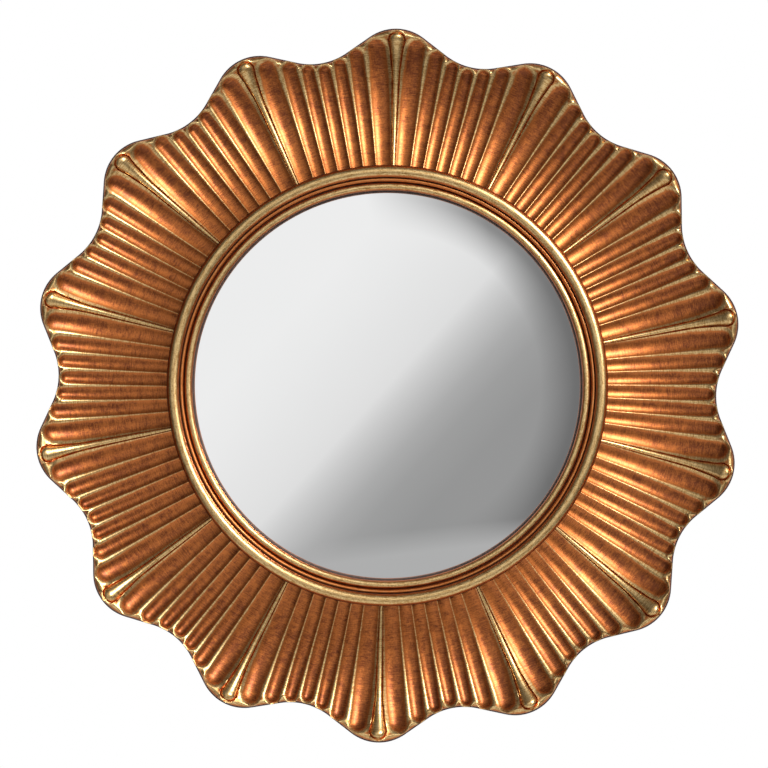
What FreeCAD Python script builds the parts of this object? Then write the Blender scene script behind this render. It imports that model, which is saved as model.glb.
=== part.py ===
import FreeCAD, Part
import math
import os
import re

import Sketcher

# A round convex mirror in a gilt shell frame. The frame's rim runs in fourteen lobes. A teardrop lies on
# each lobe's axis, and seven flutes fill the dish between two teardrops. A reeded slip frames the convex
# glass, and a board held by turn buttons closes the back.
#
# Every piece is drawn lying on its back: x is to the right, y is up the wall and z comes out of the wall,
# with z = 0 on the frame's flat back. stand_up() turns it upright and sets it off the wall by the bumpers.

SIZES = (
    # the frame's rim
    ("lobe_count", 14, "lobes round the rim"),
    ("border", 90.35, "from the slip's ledge out to a lobe's tip"),
    ("scallop_depth", 18.4, "how far the rim draws in between two lobes"),
    ("tip_round", 30.0, "radius of the rim over a lobe"),
    ("valley_round", 42.0, "radius of the rim between two lobes, where the flank beside it leaves room"),
    ("flank_least", 2.0, "least straight run between the two"),
    ("rim_draft", 4.5, "degrees that the rim's wall leans in towards the front"),
    # the dish that the flutes are cut in
    ("dish_radius", 120.0, "radius of the hollow, seen in section"),
    ("dish_set_out", 33.35, "from the slip's ledge out to the lowest ring of the hollow"),
    ("dish_floor", 9.0, "thickness of the frame there"),
    ("dish_flats", 3, "straight runs that the hollow is turned in"),
    # the flutes
    ("flute_steepness", 0.5, "depth of a flute, as a part of half its width"),
    ("flute_lap", 0.12, "how far two flutes run into each other at their ridge"),
    ("ridge_in_1", 0.35, "ridges beside the slip, as parts of a half lobe from the lobe's axis"),
    ("ridge_in_2", 0.61, ""),
    ("ridge_in_3", 0.87, ""),
    ("ridge_out_1", 0.408, "ridges at the flutes' heads, counted the same way"),
    ("ridge_out_2", 0.665, ""),
    ("ridge_out_3", 0.889, ""),
    ("head_margin_1", 5.2, "from a flute's head out to the rim, from the teardrop to the valley"),
    ("head_margin_2", 2.9, ""),
    ("head_margin_3", 2.4, ""),
    ("head_margin_4", 3.0, ""),
    # the teardrops
    ("drop_set_in", 9.3, "from a lobe's tip in to the middle of the teardrop's head"),
    ("drop_head", 5.0, "radius of the head"),
    ("drop_foot", 2.0, "how far a teardrop's head goes down into the dish"),
    ("drop_rise", 3.4, "how far a teardrop's head stands over the dish"),
    ("drop_sides", 8, "sides of a teardrop's head"),
    ("drop_neck_run", 11.7, "from the middle of the head in to the teardrop's neck"),
    ("drop_neck", 2.6, "half width of the neck"),
    ("drop_tail", 1.1, "half width of the stem beside the slip"),
    ("drop_ground_in", 1.8, "half width of the ground that the stem lies on, beside the slip"),
    ("drop_ground_out", 3.2, "half width of that ground at the neck"),
    # the reeded slip, which lies on a ledge turned in the frame
    ("slip_seat", 10.5, "from the frame's bore out to the slip's outer edge"),
    ("slip_gap", 0.15, "play between the slip and the frame's ledge wall"),
    ("ledge_height", 11.0, "height of the ledge over the frame's back"),
    ("sight_lap", 5.5, "how far the slip laps over the edge of the glass"),
    ("reed_set_in", 4.3, "from the slip's outer edge in to the large reed's crown"),
    ("reed_round", 4.1, "section radius of the large reed"),
    ("reed_spread", 55.0, "degrees of the reed each side of its crown"),
    ("reed_top", 20.6, "height of the large reed"),
    ("bead_set_out", 2.9, "from the sight edge out to the small reed's crown"),
    ("bead_round", 2.5, "section radius of the small reed"),
    ("bead_spread", 60.0, "degrees of the small reed each side of its crown"),
    ("bead_top", 16.0, "height of the small reed"),
    # the glass and what holds it
    ("glass_reach", 133.0, "radius of the glass"),
    ("glass_play", 1.0, "room round the glass in the frame"),
    ("glass_radius", 520.0, "radius of the sphere that the glass is bent to"),
    ("glass_thickness", 3.0, "thickness of the glass"),
    ("sight_gap", 0.25, "between the glass and the slip at the sight edge"),
    ("board_lap", 7.0, "from the frame's bore out to the edge of the backing board"),
    ("board_play", 0.5, "room round the board in its recess"),
    ("board_thickness", 4.0, "thickness of the board and depth of its recess"),
    ("pad_count", 8, "foam pads between the board and the glass"),
    ("pad_length", 24.0, "length of a pad round the rim"),
    ("pad_width", 6.0, "width of a pad"),
    ("pad_gap", 0.1, "between a pad and the edge of the glass"),
    # the turn buttons
    ("button_count", 6, "turn buttons round the board"),
    ("button_length", 30.0, "length of a button"),
    ("button_width", 11.0, "width of a button"),
    ("button_thickness", 1.4, "thickness of a button"),
    ("button_corner", 2.8, "radius of a turn button's corners"),
    ("button_set_out", 9.0, "from the recess to a button's screw"),
    ("screw_play", 0.06, "play round a screw"),
    ("tip_room", 0.4, "room past the tip of a screw"),
    ("peg_sides", 12, "sides of a screw and of its hole"),
    ("button_screw_shank", 1.75, "radius of the screw that a button turns on"),
    ("button_screw_length", 8.0, "length of that screw under its head"),
    ("button_head_reach", 3.4, "radius of its head"),
    ("button_head_height", 1.6, "height of its head"),
    ("button_lift", 0.05, "play under that head"),
    # the two hangers
    ("hanger_set_in", 77.0, "from a lobe's reach in, across, to a hanger ring's bar"),
    ("hanger_up", 70.0, "from the axis up to the hangers"),
    ("strap_width", 11.0, "width of a strap"),
    ("strap_thickness", 0.8, "thickness of a strap"),
    ("strap_length", 34.0, "length of a strap from the bar to its end"),
    ("strap_corner", 2.0, "radius of a strap's corners"),
    ("strap_screw_1", 7.2, "from the bar to the first screw"),
    ("strap_screw_2", 26.0, "from the bar to the second screw"),
    ("bar_radius", 1.0, "radius of the ring's bar"),
    ("bar_play", 0.06, "play round the bar in the strap's eye"),
    ("eye_lift", 0.1, "between the eye and the frame"),
    ("ring_width", 21.0, "width of a ring"),
    ("ring_reach", 14.5, "from the bar to the far side of the bow"),
    ("bow_corner", 5.5, "outer radius of a bow's two corners"),
    ("bow_width", 2.2, "width of the bow's wire"),
    ("bar_inset", 0.1, "how far a bar's ends lie inside the bow's sides"),
    ("bow_thickness", 1.5, "thickness of the bow's wire"),
    ("hanger_screw_shank", 1.5, "radius of a strap screw"),
    ("hanger_screw_length", 6.0, "length of a strap screw under its head"),
    ("hanger_head_reach", 2.8, "radius of its head"),
    ("hanger_head_height", 1.2, "height of its head"),
    # the bumpers
    ("wall_gap", 4.0, "thickness of a bumper, between the frame's back and the wall"),
    ("bumper_radius", 7.0, "radius of a bumper"),
    ("bumper_set_in", 24.6, "from the rim between two lobes in to a bumper's middle"),
    ("bumper_count", 4, "bumpers"),
    ("bumper_sides", 20, "sides of a bumper"),
)

BLANK_DEPTH = 60.0  # taller than the frame anywhere: what stands over the dish is turned off
CUT_RUN = 1.0  # how far a cut starts before the surface that it opens
STEM_START = 0.1  # how far past the slip's ledge a teardrop begins
FULL_TURN = 360.0

doc = FreeCAD.newDocument("convex_mirror")
sheet = doc.addObject("Spreadsheet::Sheet", "Sizes")
for row, (alias, amount, meaning) in enumerate(SIZES, start=1):
    sheet.set(f"A{row}", alias)
    sheet.set(f"B{row}", str(amount))
    sheet.setAlias(f"B{row}", alias)
    sheet.set(f"C{row}", meaning)
doc.recompute()


def size(alias):
    """A number from the sheet."""
    return float(getattr(sheet, alias))


def worked_out(formula):
    """The number that a formula over the sheet's names gives now."""
    return float(sheet.evalExpression(with_sheet(formula)))


def with_sheet(formula):
    """A formula in the sheet's bare names, with each name led by the sheet's."""
    return re.sub(r"[a-z]\w*", lambda word: led(word.group()), formula)


def led(word):
    return f"Sizes.{word}" if word in ALIASES else word


ALIASES = {alias for alias, amount, meaning in SIZES}


def bind(thing, **formulas):
    """Ties properties of an object to the sheet."""
    for name, formula in formulas.items():
        thing.setExpression(name.replace("__", "."), with_sheet(formula))


# ---------------------------------------------------------------------------- sketches and features

ORIGIN = (-1, 1)
UPRIGHT = -2
START, END, CENTRE = 1, 2, 3


def plane_of(body, role):
    return next(plane for plane in body.Origin.OriginFeatures if plane.Role == role)


def new_sketch(body, name, role="XY_Plane"):
    sketch = body.newObject("Sketcher::SketchObject", name)
    sketch.AttachmentSupport = (plane_of(body, role), [""])
    sketch.MapMode = "FlatFace"
    return sketch


def tie(sketch, kind, *where):
    sketch.addConstraint(Sketcher.Constraint(kind, *where))


def measure(sketch, kind, *where, formula):
    """A driving dimension, tied to the sheet."""
    index = sketch.addConstraint(Sketcher.Constraint(kind, *where, worked_out(formula)))
    sketch.setExpression(f"Constraints[{index}]", with_sheet(formula))


def pin_down(sketch, edge, spot, across, up):
    """Places a point of an edge by two dimensions from the sketch's origin."""
    measure(sketch, "DistanceX", *ORIGIN, edge, spot, formula=across)
    measure(sketch, "DistanceY", *ORIGIN, edge, spot, formula=up)


def circle(sketch, across, up, radius):
    centre = FreeCAD.Vector(worked_out(across), worked_out(up), 0)
    edge = sketch.addGeometry(Part.Circle(centre, FreeCAD.Vector(0, 0, 1), worked_out(radius)))
    pin_down(sketch, edge, CENTRE, across, up)
    measure(sketch, "Radius", edge, formula=radius)


def arc_between(start, end, radius, turn):
    """An arc of under half a circle. turn is 1 where it runs anticlockwise and -1 where clockwise."""
    chord = end - start
    aside = FreeCAD.Vector(-chord.y, chord.x, 0).normalize() * turn
    centre = (start + end) * 0.5 + aside * math.sqrt(radius**2 - (chord.Length / 2) ** 2)
    first, last = (start, end) if turn > 0 else (end, start)
    angles = [math.atan2(p.y - centre.y, p.x - centre.x) for p in (first, last)]
    return Part.ArcOfCircle(Part.Circle(centre, FreeCAD.Vector(0, 0, 1), radius), *angles)


def profile(sketch, corners):
    """A closed profile. A corner is (across, up), and an arc runs on from it where it is
    (across, up, radius, turn)."""
    points = [FreeCAD.Vector(worked_out(c[0]), worked_out(c[1]), 0) for c in corners]
    edges = []
    for i, corner in enumerate(corners):
        ends = (points[i], points[(i + 1) % len(points)])
        if len(corner) == 2:
            edges.append(sketch.addGeometry(Part.LineSegment(*ends)))
        else:
            shape = arc_between(*ends, worked_out(corner[2]), corner[3])
            edges.append(sketch.addGeometry(shape))
            measure(sketch, "Radius", edges[i], formula=corner[2])

    def tail(i):
        return START if len(corners[i]) == 2 or corners[i][3] > 0 else END

    for i, corner in enumerate(corners):
        nose = END if tail(i - 1) == START else START
        tie(sketch, "Coincident", edges[i - 1], nose, edges[i], tail(i))
        pin_down(sketch, edges[i], tail(i), corner[0], corner[1])


def trimmed_bar(sketch, left, right, half_width, corner):
    """A bar along the sketch's x axis with its four corners cut off at 45 degrees."""
    low, high = f"0 - ( {half_width} )", half_width
    profile(
        sketch,
        [
            (f"{left} + {corner}", low),
            (f"{right} - {corner}", low),
            (right, f"{low} + {corner}"),
            (right, f"{high} - {corner}"),
            (f"{right} - {corner}", high),
            (f"{left} + {corner}", high),
            (left, f"{high} - {corner}"),
            (left, f"{low} + {corner}"),
        ],
    )


def feature(body, kind, name, sketch=None, **settings):
    made = body.newObject(f"PartDesign::{kind}", name)
    if sketch:
        made.Profile = sketch
    for setting, value in settings.items():
        setattr(made, setting, value)
    return made


def turned(body, name, sketch, kind="Revolution"):
    """A full turn of a sketch on the XZ plane about the z axis."""
    return feature(body, kind, name, sketch, ReferenceAxis=(sketch, ["V_Axis"]), Angle=FULL_TURN)


def raised(body, name, sketch, length, downwards=False):
    pad = feature(body, "Pad", name, sketch, Reversed=downwards)
    bind(pad, Length=length)
    return pad


def sunk(body, name, sketch, depth, upwards=False):
    pocket = feature(body, "Pocket", name, sketch, Reversed=upwards)
    bind(pocket, Length=depth)
    return pocket


def repeated_round(body, name, count):
    """Repeats the whole piece round the z axis."""
    axis = (next(a for a in body.Origin.OriginFeatures if a.Role == "Z_Axis"), [""])
    pattern = feature(body, "PolarPattern", name, TransformMode="Whole shape", Axis=axis)
    pattern.Angle = FULL_TURN
    bind(pattern, Occurrences=count)
    body.Tip = pattern


def mirrored_across(body, name):
    """Adds the piece's own mirror image across the YZ plane."""
    pattern = feature(body, "Mirrored", name, TransformMode="Whole shape")
    pattern.MirrorPlane = (plane_of(body, "YZ_Plane"), [""])
    body.Tip = pattern


# ---------------------------------------------------------------------------- the fluted frame

# Reaches from the axis, worked out from the glass.
BORE = "( glass_reach + glass_play )"
SIGHT = "( glass_reach - sight_lap )"
BOARD = f"( {BORE} + board_lap )"
RECESS = f"( {BOARD} + board_play )"
SLIP = f"( {BORE} + slip_seat )"
LEDGE = f"( {SLIP} + slip_gap )"
TIP = f"( {LEDGE} + border )"
VALLEY = f"( {TIP} - scallop_depth )"
DISH = f"( {LEDGE} + dish_set_out )"
DROP = f"( {TIP} - drop_set_in )"
NECK = f"( {DROP} - drop_neck_run )"
HANGER = f"( {TIP} - hanger_set_in )"
BUMPER = f"( {VALLEY} - bumper_set_in )"

# The rim's two rounds and the straight flank between them reach from a lobe's axis to the valley's. What
# the flank leaves for the round in the valley follows from the triangle of both centres and the axis.
TIP_CENTRE = f"( {TIP} - tip_round )"
HALF_ANGLE = "( 180 / lobe_count )"
CENTRE_ALONG = f"( {TIP_CENTRE} * cos( {HALF_ANGLE} ) )"
CENTRE_TO_VALLEY = f"( {VALLEY} ^ 2 + {TIP_CENTRE} ^ 2 - 2 * {VALLEY} * {CENTRE_ALONG} )"
ROUND_ROOM = (
    f"( {CENTRE_TO_VALLEY} - tip_round ^ 2 - flank_least ^ 2 )"
    f" / ( 2 * ( {CENTRE_ALONG} + tip_round - {VALLEY} ) )"
)
VALLEY_ROUND = f"min( valley_round ; {ROUND_ROOM} )"


BUTTONS = int(size("button_count"))
BUTTON_ANGLES = [FULL_TURN * i / BUTTONS for i in range(BUTTONS)]
PIVOT_REACH = f"( {RECESS} + button_set_out )"
BUTTON_PLACES = [(f"{PIVOT_REACH} * cos( {a} )", f"{PIVOT_REACH} * sin( {a} )") for a in BUTTON_ANGLES]
BUTTON_STACK = "( button_thickness + 2 * button_lift )"
BUTTON_SCREW_DEPTH = f"button_screw_length - {BUTTON_STACK} + tip_room"
HANGER_SCREW_PLACES = [
    (f"{side} * ( {HANGER} + strap_screw_{i} )", "hanger_up") for side in (-1, 1) for i in (1, 2)
]
HANGER_SCREW_DEPTH = "hanger_screw_length - strap_thickness + tip_room"


def half_lobe():
    """The angle from a lobe's axis to the valley beside it."""
    return math.pi / size("lobe_count")


def at(reach, angle):
    """A point of the plan, on a ray at an angle from a lobe's axis."""
    return FreeCAD.Vector(reach * math.sin(angle), reach * math.cos(angle), 0)


def rim_centres():
    """The centres of the rim's rounds, over the tip and in the valley, and the direction of the flank's
    outward normal."""
    tip_centre = at(worked_out(TIP_CENTRE), 0)
    valley_round = worked_out(VALLEY_ROUND)
    valley_centre = at(worked_out(VALLEY) + valley_round, half_lobe())
    between = valley_centre - tip_centre
    lean = math.acos((size("tip_round") + valley_round) / between.Length)
    return tip_centre, valley_centre, math.atan2(between.y, between.x) + lean


def flank():
    """The ends of the straight run between the two rounds."""
    tip_centre, valley_centre, slant = rim_centres()
    off = FreeCAD.Vector(math.cos(slant), math.sin(slant), 0)
    return tip_centre + off * size("tip_round"), valley_centre - off * worked_out(VALLEY_ROUND)


def petal_outline(body):
    """Half a lobe in plan: its axis, the rim over the tip, a straight flank, the rim into the valley,
    the valley's axis and the bore."""
    sketch = new_sketch(body, "petal_outline")
    upwards = FreeCAD.Vector(0, 0, 1)
    tip, bore = worked_out(TIP), worked_out(BORE)
    tip_centre, valley_centre, slant = rim_centres()
    flank_ends = flank()
    valley_axis = at(1, half_lobe())
    valley_angle = math.pi / 2 - half_lobe()
    axis = sketch.addGeometry(Part.LineSegment(FreeCAD.Vector(0, bore, 0), FreeCAD.Vector(0, tip, 0)))
    over_tip = Part.Circle(tip_centre, upwards, size("tip_round"))
    crown = sketch.addGeometry(Part.ArcOfCircle(over_tip, slant, math.pi / 2))
    side_run = sketch.addGeometry(Part.LineSegment(*flank_ends))
    in_valley = Part.Circle(valley_centre, upwards, worked_out(VALLEY_ROUND))
    hollow = sketch.addGeometry(Part.ArcOfCircle(in_valley, slant + math.pi, valley_angle + math.pi))
    side_ends = (valley_axis * bore, valley_axis * worked_out(VALLEY))
    side = sketch.addGeometry(Part.LineSegment(*side_ends))
    round_bore = Part.Circle(FreeCAD.Vector(), upwards, bore)
    inner = sketch.addGeometry(Part.ArcOfCircle(round_bore, valley_angle, math.pi / 2))
    tie(sketch, "Coincident", axis, START, inner, END)
    tie(sketch, "Coincident", axis, END, crown, END)
    tie(sketch, "Tangent", crown, START, side_run, START)
    tie(sketch, "Tangent", side_run, END, hollow, START)
    tie(sketch, "Coincident", hollow, END, side, END)
    tie(sketch, "Coincident", side, START, inner, START)
    tie(sketch, "PointOnObject", axis, START, UPRIGHT)
    tie(sketch, "PointOnObject", axis, END, UPRIGHT)
    tie(sketch, "PointOnObject", crown, CENTRE, UPRIGHT)
    tie(sketch, "Coincident", inner, CENTRE, *ORIGIN)
    tie(sketch, "PointOnObject", hollow, CENTRE, side)
    tie(sketch, "PointOnObject", *ORIGIN, side)
    angle = sketch.addConstraint(Sketcher.Constraint("Angle", side, valley_angle))
    sketch.setExpression(f"Constraints[{angle}]", with_sheet("90 - 180 / lobe_count"))
    measure(sketch, "Radius", crown, formula="tip_round")
    measure(sketch, "Radius", hollow, formula=VALLEY_ROUND)
    measure(sketch, "Radius", inner, formula=BORE)
    measure(sketch, "DistanceY", *ORIGIN, axis, END, formula=TIP)
    measure(sketch, "Distance", *ORIGIN, side, END, formula=VALLEY)
    return sketch


def dish_reaches():
    """The rings where the dish's straight runs meet, as formulas, from the ledge to the tips."""
    flats = int(size("dish_flats"))
    return [f"( {LEDGE} + border * {i} / {flats} )" for i in range(flats + 1)]


def hollow_height(reach):
    """The height of the dish's true hollow at a reach, as a formula."""
    return f"( dish_floor + dish_radius - sqrt( dish_radius ^ 2 - ( {reach} - {DISH} ) ^ 2 ) )"


def cut_the_dish(body):
    """Sinks the slip's ledge, and planes the dish's straight runs square to the half lobe's middle."""
    sketch = new_sketch(body, "ledge_section", "XZ_Plane")
    top, inside = f"( {TIP} / 2 )", f"( {BORE} - {CUT_RUN} )"
    profile(sketch, [(inside, top), (inside, "ledge_height"), (LEDGE, "ledge_height"), (LEDGE, top)])
    turned(body, "ledge", sketch, "Groove")
    sketch = new_sketch(body, "dish_section", "YZ_Plane")
    turn = FreeCAD.Rotation(FreeCAD.Vector(0, 1, 0), -math.degrees(half_lobe() / 2))
    sketch.AttachmentOffset = FreeCAD.Placement(FreeCAD.Vector(), turn)
    bind(sketch, AttachmentOffset__Rotation__Angle="0 - 90 / lobe_count")
    reaches = dish_reaches()
    heights = [hollow_height(reach) for reach in reaches]
    before, after = f"( 2 * {reaches[0]} - {reaches[1]} )", f"( 2 * {reaches[-1]} - {reaches[-2]} )"
    corners = [(before, top), (before, f"2 * {heights[0]} - {heights[1]}")]
    corners += list(zip(reaches[1:-1], heights[1:-1]))
    corners += [(after, f"2 * {heights[-1]} - {heights[-2]}"), (after, top)]
    profile(sketch, corners)
    dish = sunk(body, "dish", sketch, f"2 * {TIP}")
    dish.Midplane = True


def dish_rings():
    """The dish's folds, as numbers: [(run from the axis along the half lobe's middle, height)]."""
    return [(worked_out(r), worked_out(hollow_height(r))) for r in dish_reaches()]


def run_of(spot):
    """How far a point is from the axis along the half lobe's middle."""
    return abs(spot.x) * math.sin(half_lobe() / 2) + spot.y * math.cos(half_lobe() / 2)


def dish_height(spot):
    """The dish's height over a point of the half lobe."""
    rings = dish_rings()
    for (near, low), (far, high) in zip(rings, rings[1:]):
        if run_of(spot) <= far:
            break
    return low + (high - low) * (run_of(spot) - near) / (far - near)


def rim_reach(angle):
    """From the axis to the rim, on a ray at an angle from a lobe's axis."""
    ray = at(1, angle)
    tip_centre, valley_centre, slant = rim_centres()
    crown_end, hollow_end = flank()
    if angle <= math.atan2(crown_end.x, crown_end.y):
        along = ray.dot(tip_centre)
        return along + math.sqrt(along**2 - tip_centre.Length**2 + size("tip_round") ** 2)
    if angle >= math.atan2(hollow_end.x, hollow_end.y):
        along = ray.dot(valley_centre)
        return along - math.sqrt(along**2 - valley_centre.Length**2 + worked_out(VALLEY_ROUND) ** 2)
    off = FreeCAD.Vector(math.cos(slant), math.sin(slant), 0)
    return crown_end.dot(off) / ray.dot(off)


def ridges(end):
    """Angles of the ridges from a lobe's axis to past the valley, beside the slip or at the heads."""
    reach = worked_out(LEDGE if end == "in" else NECK)
    first = math.asin(size(f"drop_ground_{end}") / reach)
    marks = [first] + [size(f"ridge_{end}_{i}") * half_lobe() for i in (1, 2, 3)]
    return marks + [2 * half_lobe() - marks[-1]]


def flute_cutter(number):
    """The V-shaped cutter of one flute. It follows the dish's folds and lifts out at the flute's head."""
    near_marks, far_marks = ridges("in")[number - 1 : number + 1], ridges("out")[number - 1 : number + 1]
    near_reach = worked_out(LEDGE)
    far_angle = sum(far_marks) / 2
    head = rim_reach(min(far_angle, half_lobe())) - size(f"head_margin_{number}")
    near_half = near_reach * (near_marks[1] - near_marks[0]) / 2 + size("flute_lap")
    far_half = head * (far_marks[1] - far_marks[0]) / 2 + size("flute_lap")
    near = at(near_reach, sum(near_marks) / 2)
    far = at(head - far_half, far_angle)
    onward = (far - near).normalize()
    aside = FreeCAD.Vector(onward.y, -onward.x, 0)
    shares = [-CUT_RUN / near.distanceToPoint(far)]
    for fold, height in dish_rings()[1:-1]:
        if fold < run_of(far) - far_half:
            shares.append((fold - run_of(near)) / (run_of(far) - run_of(near)))
    sections = []
    for share in shares + [1.0]:
        spot = near + (far - near) * share
        half = near_half + (far_half - near_half) * share
        sections.append(v_section(spot, aside, half, 0))
    way_out = size("flute_steepness") * half * 1.1
    sections.append(v_section(spot + onward * half, aside, half, way_out))
    return flat_sided(sections)


def v_section(spot, aside, half, lift):
    """A triangle that reaches under the dish and as far over it, raised by lift."""
    depth = FreeCAD.Vector(0, 0, size("flute_steepness") * half)
    spot = FreeCAD.Vector(spot.x, spot.y, 0)
    spot.z = dish_height(spot) + lift
    return [spot + depth - aside * (2 * half), spot - depth, spot + depth + aside * (2 * half)]


def flat_sided(sections):
    """A solid between like sections, with a flat face from each side of one to the next."""
    count = len(sections[0])
    loops = [sections[0], sections[-1]]
    for one, two in zip(sections, sections[1:]):
        for i in range(count):
            loops.append([one[i - 1], one[i], two[i], two[i - 1]])
    faces = [Part.Face(Part.makePolygon(loop + loop[:1])) for loop in loops]
    solid = Part.Solid(Part.makeShell(faces))
    return solid if solid.Volume > 0 else solid.reversed()


def drop_stem():
    """The teardrop's stem: a roofed ridge that follows the dish and widens into the head."""
    neck_reach, head_reach = worked_out(NECK), worked_out(DROP)
    start = worked_out(LEDGE) + STEM_START
    stops = [(start, size("drop_tail"))]
    for fold, height in dish_rings()[1:-1]:
        reach = fold / math.cos(half_lobe() / 2)
        if reach < neck_reach - size("drop_head"):
            share = (reach - start) / (neck_reach - start)
            stops.append((reach, size("drop_tail") + (size("drop_neck") - size("drop_tail")) * share))
    stops += [(neck_reach, size("drop_neck")), (head_reach, size("drop_head") * 0.9)]
    aside, lift = FreeCAD.Vector(1, 0, 0), FreeCAD.Vector(0, 0, 1)
    sections = []
    for reach, half in stops:
        spot = FreeCAD.Vector(0, reach, 0)
        spot.z = dish_height(spot)
        foot = spot - lift * size("drop_foot")
        out = aside * half
        sections.append([foot - out, spot - out, spot + lift * half, spot + out, foot + out])
    return flat_sided(sections)


def helper(name, shape):
    """A shape that only part of the frame is made with."""
    made = doc.addObject("Part::Feature", name)
    made.Shape = shape
    return made


def make_frame():
    half_petal = doc.addObject("PartDesign::Body", "half_petal")
    blank = raised(half_petal, "petal_blank", petal_outline(half_petal), str(BLANK_DEPTH))
    doc.recompute()
    draft_the_rim(half_petal, blank)
    cut_the_dish(half_petal)
    flutes = doc.addObject("Part::Compound", "flutes")
    flutes.Links = [helper(f"flute_{i}", flute_cutter(i)) for i in (1, 2, 3, 4)]
    fluted = doc.addObject("Part::Cut", "fluted_half")
    fluted.Base = half_petal
    fluted.Tool = flutes
    petal = doc.addObject("PartDesign::Body", "petal")
    petal.BaseFeature = fluted
    doc.recompute()
    mirrored_across(petal, "petal_mirrored")
    head = doc.addObject("Part::Prism", "drop_head")
    bind(head, Polygon="drop_sides", Circumradius="drop_head", Height="drop_rise + drop_foot")
    bind(head, Placement__Base__y=DROP)
    head.Placement.Base.z = dish_height(at(worked_out(DROP), 0)) - size("drop_foot")
    with_drop = doc.addObject("Part::MultiFuse", "petal_with_drop")
    with_drop.Shapes = [petal, helper("drop_stem", drop_stem()), head]
    doc.recompute()
    frame = doc.addObject("PartDesign::Body", "petal_ring")
    frame.BaseFeature = with_drop
    doc.recompute()
    repeated_round(frame, "petals", "lobe_count")
    doc.recompute()
    back = new_sketch(frame, "recess_outline")
    circle(back, "0", "0", RECESS)
    sunk(frame, "recess", back, "board_thickness", upwards=True)
    holes = []
    for i, (across, up) in enumerate(BUTTON_PLACES, start=1):
        wide = hole_reach("button_screw_shank")
        holes.append(peg(f"button_pilot_{i}", across, up, wide, f"{CUT_RUN} + {BUTTON_SCREW_DEPTH}"))
    for i, (across, up) in enumerate(HANGER_SCREW_PLACES, start=1):
        wide = hole_reach("hanger_screw_shank")
        holes.append(peg(f"hanger_pilot_{i}", across, up, wide, f"{CUT_RUN} + {HANGER_SCREW_DEPTH}"))
    for hole in holes:
        hole.Placement.Base.z = -CUT_RUN
    drilled = doc.addObject("Part::Cut", "fluted_frame")
    drilled.Base = frame
    drilled.Tool = joined("pilots", holes)
    return drilled


def hole_reach(shank):
    """The corner radius of a many-sided hole whose sides clear a shank."""
    return f"( {shank} + screw_play ) / cos( 180 / peg_sides )"


def draft_the_rim(body, blank):
    """Leans the rim's wall in towards the front, from the back face's edge."""
    walls = []
    back = ""
    for i, face in enumerate(blank.Shape.Faces, start=1):
        middle = face.CenterOfMass
        across = math.hypot(middle.x, middle.y)
        if abs(middle.z) < 1e-6:
            back = f"Face{i}"
        outwards = face.normalAt(*face.Surface.parameter(middle)).dot(FreeCAD.Vector(middle.x, middle.y, 0))
        if across > worked_out(VALLEY) - size("tip_round") and outwards > across / 2:
            walls.append(f"Face{i}")
    draft = feature(body, "Draft", "rim_draft", Base=(blank, walls), NeutralPlane=(blank, [back]))
    bind(draft, Angle="rim_draft")
    return draft


# ---------------------------------------------------------------------------- what the frame holds


def reed(reach, top, round_, spread, flats):
    """Corners over the top of a reed, from its outer edge inwards."""
    corners = []
    for i in range(flats + 1):
        lean = f"( {spread} * {1 - 2 * i / flats} )"
        across = f"{reach} + {round_} * sin( {lean} )"
        corners.append((across, f"{top} - {round_} + {round_} * cos( {lean} )"))
    return corners


def make_slip():
    """A turned ring: a wide reed outside, and a small reed beside the glass."""
    slip = doc.addObject("PartDesign::Body", "reeded_slip")
    sketch = new_sketch(slip, "slip_section", "XZ_Plane")
    corners = [(SIGHT, "ledge_height"), (SLIP, "ledge_height")]
    corners += reed(f"{SLIP} - reed_set_in", "reed_top", "reed_round", "reed_spread", 3)
    corners += reed(f"{SIGHT} + bead_set_out", "bead_top", "bead_round", "bead_spread", 2)
    profile(sketch, corners)
    turned(slip, "slip_turned", sketch)
    return slip


SPHERE_CENTRE = f"ledge_height - sight_gap - sqrt( glass_radius ^ 2 - {SIGHT} ^ 2 )"
BACK_RADIUS = "( glass_radius - glass_thickness )"
GLASS_FOOT = f"( {SPHERE_CENTRE} + sqrt( {BACK_RADIUS} ^ 2 - glass_reach ^ 2 ) )"


def make_glass():
    """A shell between two spheres of one centre, cut to a round plate."""
    front = doc.addObject("Part::Sphere", "glass_front")
    back = doc.addObject("Part::Sphere", "glass_back")
    for ball, radius in ((front, "glass_radius"), (back, BACK_RADIUS)):
        ball.Placement = FreeCAD.Placement(FreeCAD.Vector(), FreeCAD.Rotation(FreeCAD.Vector(1, 0, 0), 90))
        bind(ball, Radius=radius, Placement__Base__z=SPHERE_CENTRE)
    plate = doc.addObject("Part::Cylinder", "glass_plate")
    bind(plate, Radius="glass_reach", Height="2 * glass_reach")
    capped = doc.addObject("Part::Common", "glass_capped")
    capped.Base = plate
    capped.Tool = front
    glass = doc.addObject("Part::Cut", "mirror_glass")
    glass.Base = capped
    glass.Tool = back
    return glass


def make_pads():
    """Foam blocks that stand on the board and press the rim of the glass forwards."""
    blocks = []
    count = int(size("pad_count"))
    for i in range(count):
        block = doc.addObject("Part::Box", f"pad_{i + 1}")
        bind(block, Length="pad_width", Width="pad_length")
        bind(block, Height=f"{GLASS_FOOT} - pad_gap - board_thickness")
        turn = FreeCAD.Rotation(FreeCAD.Vector(0, 0, 1), FULL_TURN * (i + 0.5) / count)
        corner = FreeCAD.Vector(size("glass_reach") - size("pad_width"), -size("pad_length") / 2, 0)
        corner.z = size("board_thickness")
        block.Placement = FreeCAD.Placement(turn.multVec(corner), turn)
        blocks.append(block)
    return joined("glass_pads", blocks)


def joined(name, pieces):
    whole = doc.addObject("Part::MultiFuse", name)
    whole.Shapes = pieces
    return whole


def make_board():
    board = doc.addObject("PartDesign::Body", "backing_board")
    sketch = new_sketch(board, "board_outline")
    circle(sketch, "0", "0", BOARD)
    raised(board, "board_panel", sketch, "board_thickness")
    return board


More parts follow.
